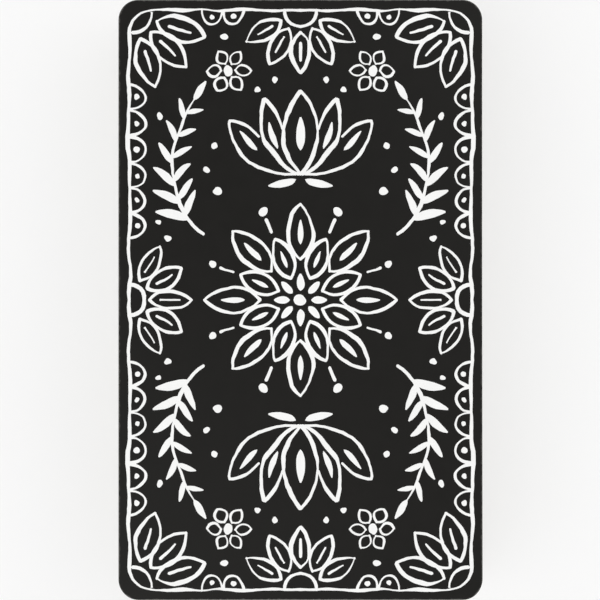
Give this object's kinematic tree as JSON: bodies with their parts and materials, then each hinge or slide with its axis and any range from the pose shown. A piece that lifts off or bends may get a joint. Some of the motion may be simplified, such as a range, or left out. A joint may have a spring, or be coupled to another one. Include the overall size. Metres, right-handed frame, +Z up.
{
  "type": "oracle card deck",
  "caption": "Squared deck of loose black-backed oracle cards with rounded corners, lying face down. The cards fan from a pinch point, the deck cuts, the top card draws off.",
  "frame": {"origin": "middle of the underside of the bottom card, where the deck rests", "axes": "+X across the cards, +Y along their length, +Z up through the deck to the printed backs"},
  "size_m": [0.0735, 0.121, 0.0198],
  "materials": {
    "printed_card": "matte-coated card stock, backs printed black with white line work"
  },
  "bodies": {
    "bottom_card": {"bottom_card": "printed_card"},
    "card_02": {"card_02": "printed_card"},
    "card_03": {"card_03": "printed_card"},
    "card_04": {"card_04": "printed_card"},
    "card_05": {"card_05": "printed_card"},
    "card_06": {"card_06": "printed_card"},
    "card_07": {"card_07": "printed_card"},
    "card_08": {"card_08": "printed_card"},
    "card_09": {"card_09": "printed_card"},
    "card_10": {"card_10": "printed_card"},
    "card_11": {"card_11": "printed_card"},
    "card_12": {"card_12": "printed_card"},
    "card_13": {"card_13": "printed_card"},
    "card_14": {"card_14": "printed_card"},
    "card_15": {"card_15": "printed_card"},
    "card_16": {"card_16": "printed_card"},
    "card_17": {"card_17": "printed_card"},
    "card_18": {"card_18": "printed_card"},
    "card_19": {"card_19": "printed_card"},
    "card_20": {"card_20": "printed_card"},
    "card_21": {"card_21": "printed_card"},
    "card_22": {"card_22": "printed_card"},
    "card_23": {"card_23": "printed_card"},
    "card_24": {"card_24": "printed_card"},
    "card_25": {"card_25": "printed_card"},
    "card_26": {"card_26": "printed_card"},
    "card_27": {"card_27": "printed_card"},
    "card_28": {"card_28": "printed_card"},
    "card_29": {"card_29": "printed_card"},
    "card_30": {"card_30": "printed_card"},
    "card_31": {"card_31": "printed_card"},
    "card_32": {"card_32": "printed_card"},
    "card_33": {"card_33": "printed_card"},
    "card_34": {"card_34": "printed_card"},
    "card_35": {"card_35": "printed_card"},
    "card_36": {"card_36": "printed_card"},
    "card_37": {"card_37": "printed_card"},
    "card_38": {"card_38": "printed_card"},
    "card_39": {"card_39": "printed_card"},
    "card_40": {"card_40": "printed_card"},
    "card_41": {"card_41": "printed_card"},
    "card_42": {"card_42": "printed_card"},
    "card_43": {"card_43": "printed_card"},
    "top_card": {"top_card": "printed_card"}
  },
  "joints": [
    {"name": "card_02_fan", "type": "hinge", "parent": "bottom_card", "child": "card_02", "pos_m": [0, -0.0463, 0.00065], "axis": [0, 0, -1], "range_deg": [0, 3.01]},
    {"name": "card_03_fan", "type": "hinge", "parent": "bottom_card", "child": "card_03", "pos_m": [0, -0.0463, 0.0011], "axis": [0, 0, -1], "range_deg": [0, 6.01]},
    {"name": "card_04_fan", "type": "hinge", "parent": "bottom_card", "child": "card_04", "pos_m": [0, -0.0463, 0.00155], "axis": [0, 0, -1], "range_deg": [0, 9.01]},
    {"name": "card_05_fan", "type": "hinge", "parent": "bottom_card", "child": "card_05", "pos_m": [0, -0.0463, 0.002], "axis": [0, 0, -1], "range_deg": [0, 12.01]},
    {"name": "card_06_fan", "type": "hinge", "parent": "bottom_card", "child": "card_06", "pos_m": [0, -0.0463, 0.00245], "axis": [0, 0, -1], "range_deg": [0, 15.01]},
    {"name": "card_07_fan", "type": "hinge", "parent": "bottom_card", "child": "card_07", "pos_m": [0, -0.0463, 0.0029], "axis": [0, 0, -1], "range_deg": [0, 18.01]},
    {"name": "card_08_fan", "type": "hinge", "parent": "bottom_card", "child": "card_08", "pos_m": [0, -0.0463, 0.00335], "axis": [0, 0, -1], "range_deg": [0, 21.01]},
    {"name": "card_09_fan", "type": "hinge", "parent": "bottom_card", "child": "card_09", "pos_m": [0, -0.0463, 0.0038], "axis": [0, 0, -1], "range_deg": [0, 24.01]},
    {"name": "card_10_fan", "type": "hinge", "parent": "bottom_card", "child": "card_10", "pos_m": [0, -0.0463, 0.00425], "axis": [0, 0, -1], "range_deg": [0, 27.01]},
    {"name": "card_11_fan", "type": "hinge", "parent": "bottom_card", "child": "card_11", "pos_m": [0, -0.0463, 0.0047], "axis": [0, 0, -1], "range_deg": [0, 30.01]},
    {"name": "card_12_fan", "type": "hinge", "parent": "bottom_card", "child": "card_12", "pos_m": [0, -0.0463, 0.00515], "axis": [0, 0, -1], "range_deg": [0, 33.01]},
    {"name": "card_13_fan", "type": "hinge", "parent": "bottom_card", "child": "card_13", "pos_m": [0, -0.0463, 0.0056], "axis": [0, 0, -1], "range_deg": [0, 36.01]},
    {"name": "card_14_fan", "type": "hinge", "parent": "bottom_card", "child": "card_14", "pos_m": [0, -0.0463, 0.00605], "axis": [0, 0, -1], "range_deg": [0, 39.01]},
    {"name": "card_15_fan", "type": "hinge", "parent": "bottom_card", "child": "card_15", "pos_m": [0, -0.0463, 0.0065], "axis": [0, 0, -1], "range_deg": [0, 42.01]},
    {"name": "card_16_fan", "type": "hinge", "parent": "bottom_card", "child": "card_16", "pos_m": [0, -0.0463, 0.00695], "axis": [0, 0, -1], "range_deg": [0, 45.01]},
    {"name": "card_17_fan", "type": "hinge", "parent": "bottom_card", "child": "card_17", "pos_m": [0, -0.0463, 0.0074], "axis": [0, 0, -1], "range_deg": [0, 48.01]},
    {"name": "card_18_fan", "type": "hinge", "parent": "bottom_card", "child": "card_18", "pos_m": [0, -0.0463, 0.00785], "axis": [0, 0, -1], "range_deg": [0, 51.01]},
    {"name": "card_19_fan", "type": "hinge", "parent": "bottom_card", "child": "card_19", "pos_m": [0, -0.0463, 0.0083], "axis": [0, 0, -1], "range_deg": [0, 54.01]},
    {"name": "card_20_fan", "type": "hinge", "parent": "bottom_card", "child": "card_20", "pos_m": [0, -0.0463, 0.00875], "axis": [0, 0, -1], "range_deg": [0, 57.01]},
    {"name": "card_21_fan", "type": "hinge", "parent": "bottom_card", "child": "card_21", "pos_m": [0, -0.0463, 0.0092], "axis": [0, 0, -1], "range_deg": [0, 60.01]},
    {"name": "fan", "type": "hinge", "parent": "bottom_card", "child": "card_22", "pos_m": [0, -0.0463, 0.00965], "axis": [0, 0, -1], "range_deg": [0, 63]},
    {"name": "cut", "type": "slide", "parent": "card_22", "child": "card_23", "axis": [1, 0, 0], "range_m": [0, 0.036]},
    {"name": "card_24_fan", "type": "hinge", "parent": "card_23", "child": "card_24", "pos_m": [0, -0.0463, 0.01055], "axis": [0, 0, -1], "range_deg": [0, 3.01]},
    {"name": "card_25_fan", "type": "hinge", "parent": "card_23", "child": "card_25", "pos_m": [0, -0.0463, 0.011], "axis": [0, 0, -1], "range_deg": [0, 6.01]},
    {"name": "card_26_fan", "type": "hinge", "parent": "card_23", "child": "card_26", "pos_m": [0, -0.0463, 0.01145], "axis": [0, 0, -1], "range_deg": [0, 9.01]},
    {"name": "card_27_fan", "type": "hinge", "parent": "card_23", "child": "card_27", "pos_m": [0, -0.0463, 0.0119], "axis": [0, 0, -1], "range_deg": [0, 12.01]},
    {"name": "card_28_fan", "type": "hinge", "parent": "card_23", "child": "card_28", "pos_m": [0, -0.0463, 0.01235], "axis": [0, 0, -1], "range_deg": [0, 15.01]},
    {"name": "card_29_fan", "type": "hinge", "parent": "card_23", "child": "card_29", "pos_m": [0, -0.0463, 0.0128], "axis": [0, 0, -1], "range_deg": [0, 18.01]},
    {"name": "card_30_fan", "type": "hinge", "parent": "card_23", "child": "card_30", "pos_m": [0, -0.0463, 0.01325], "axis": [0, 0, -1], "range_deg": [0, 21.01]},
    {"name": "card_31_fan", "type": "hinge", "parent": "card_23", "child": "card_31", "pos_m": [0, -0.0463, 0.0137], "axis": [0, 0, -1], "range_deg": [0, 24.01]},
    {"name": "card_32_fan", "type": "hinge", "parent": "card_23", "child": "card_32", "pos_m": [0, -0.0463, 0.01415], "axis": [0, 0, -1], "range_deg": [0, 27.01]},
    {"name": "card_33_fan", "type": "hinge", "parent": "card_23", "child": "card_33", "pos_m": [0, -0.0463, 0.0146], "axis": [0, 0, -1], "range_deg": [0, 30.01]},
    {"name": "card_34_fan", "type": "hinge", "parent": "card_23", "child": "card_34", "pos_m": [0, -0.0463, 0.01505], "axis": [0, 0, -1], "range_deg": [0, 33.01]},
    {"name": "card_35_fan", "type": "hinge", "parent": "card_23", "child": "card_35", "pos_m": [0, -0.0463, 0.0155], "axis": [0, 0, -1], "range_deg": [0, 36.01]},
    {"name": "card_36_fan", "type": "hinge", "parent": "card_23", "child": "card_36", "pos_m": [0, -0.0463, 0.01595], "axis": [0, 0, -1], "range_deg": [0, 39.01]},
    {"name": "card_37_fan", "type": "hinge", "parent": "card_23", "child": "card_37", "pos_m": [0, -0.0463, 0.0164], "axis": [0, 0, -1], "range_deg": [0, 42.01]},
    {"name": "card_38_fan", "type": "hinge", "parent": "card_23", "child": "card_38", "pos_m": [0, -0.0463, 0.01685], "axis": [0, 0, -1], "range_deg": [0, 45.01]},
    {"name": "card_39_fan", "type": "hinge", "parent": "card_23", "child": "card_39", "pos_m": [0, -0.0463, 0.0173], "axis": [0, 0, -1], "range_deg": [0, 48.01]},
    {"name": "card_40_fan", "type": "hinge", "parent": "card_23", "child": "card_40", "pos_m": [0, -0.0463, 0.01775], "axis": [0, 0, -1], "range_deg": [0, 51.01]},
    {"name": "card_41_fan", "type": "hinge", "parent": "card_23", "child": "card_41", "pos_m": [0, -0.0463, 0.0182], "axis": [0, 0, -1], "range_deg": [0, 54.01]},
    {"name": "card_42_fan", "type": "hinge", "parent": "card_23", "child": "card_42", "pos_m": [0, -0.0463, 0.01865], "axis": [0, 0, -1], "range_deg": [0, 57.01]},
    {"name": "card_43_fan", "type": "hinge", "parent": "card_23", "child": "card_43", "pos_m": [0, -0.0463, 0.0191], "axis": [0, 0, -1], "range_deg": [0, 60.01]},
    {"name": "draw", "type": "slide", "parent": "card_43", "child": "top_card", "axis": [0, 1, 0], "range_m": [0, 0.06]}
  ],
  "couplings": [
    {"joint": "card_02_fan", "follows": "fan", "ratio": 0.047619},
    {"joint": "card_03_fan", "follows": "fan", "ratio": 0.095238},
    {"joint": "card_04_fan", "follows": "fan", "ratio": 0.14286},
    {"joint": "card_05_fan", "follows": "fan", "ratio": 0.19048},
    {"joint": "card_06_fan", "follows": "fan", "ratio": 0.2381},
    {"joint": "card_07_fan", "follows": "fan", "ratio": 0.28571},
    {"joint": "card_08_fan", "follows": "fan", "ratio": 0.33333},
    {"joint": "card_09_fan", "follows": "fan", "ratio": 0.38095},
    {"joint": "card_10_fan", "follows": "fan", "ratio": 0.42857},
    {"joint": "card_11_fan", "follows": "fan", "ratio": 0.47619},
    {"joint": "card_12_fan", "follows": "fan", "ratio": 0.52381},
    {"joint": "card_13_fan", "follows": "fan", "ratio": 0.57143},
    {"joint": "card_14_fan", "follows": "fan", "ratio": 0.61905},
    {"joint": "card_15_fan", "follows": "fan", "ratio": 0.66667},
    {"joint": "card_16_fan", "follows": "fan", "ratio": 0.71429},
    {"joint": "card_17_fan", "follows": "fan", "ratio": 0.7619},
    {"joint": "card_18_fan", "follows": "fan", "ratio": 0.80952},
    {"joint": "card_19_fan", "follows": "fan", "ratio": 0.85714},
    {"joint": "card_20_fan", "follows": "fan", "ratio": 0.90476},
    {"joint": "card_21_fan", "follows": "fan", "ratio": 0.95238},
    {"joint": "card_24_fan", "follows": "fan", "ratio": 0.047619},
    {"joint": "card_25_fan", "follows": "fan", "ratio": 0.095238},
    {"joint": "card_26_fan", "follows": "fan", "ratio": 0.14286},
    {"joint": "card_27_fan", "follows": "fan", "ratio": 0.19048},
    {"joint": "card_28_fan", "follows": "fan", "ratio": 0.2381},
    {"joint": "card_29_fan", "follows": "fan", "ratio": 0.28571},
    {"joint": "card_30_fan", "follows": "fan", "ratio": 0.33333},
    {"joint": "card_31_fan", "follows": "fan", "ratio": 0.38095},
    {"joint": "card_32_fan", "follows": "fan", "ratio": 0.42857},
    {"joint": "card_33_fan", "follows": "fan", "ratio": 0.47619},
    {"joint": "card_34_fan", "follows": "fan", "ratio": 0.52381},
    {"joint": "card_35_fan", "follows": "fan", "ratio": 0.57143},
    {"joint": "card_36_fan", "follows": "fan", "ratio": 0.61905},
    {"joint": "card_37_fan", "follows": "fan", "ratio": 0.66667},
    {"joint": "card_38_fan", "follows": "fan", "ratio": 0.71429},
    {"joint": "card_39_fan", "follows": "fan", "ratio": 0.7619},
    {"joint": "card_40_fan", "follows": "fan", "ratio": 0.80952},
    {"joint": "card_41_fan", "follows": "fan", "ratio": 0.85714},
    {"joint": "card_42_fan", "follows": "fan", "ratio": 0.90476},
    {"joint": "card_43_fan", "follows": "fan", "ratio": 0.95238}
  ]
}
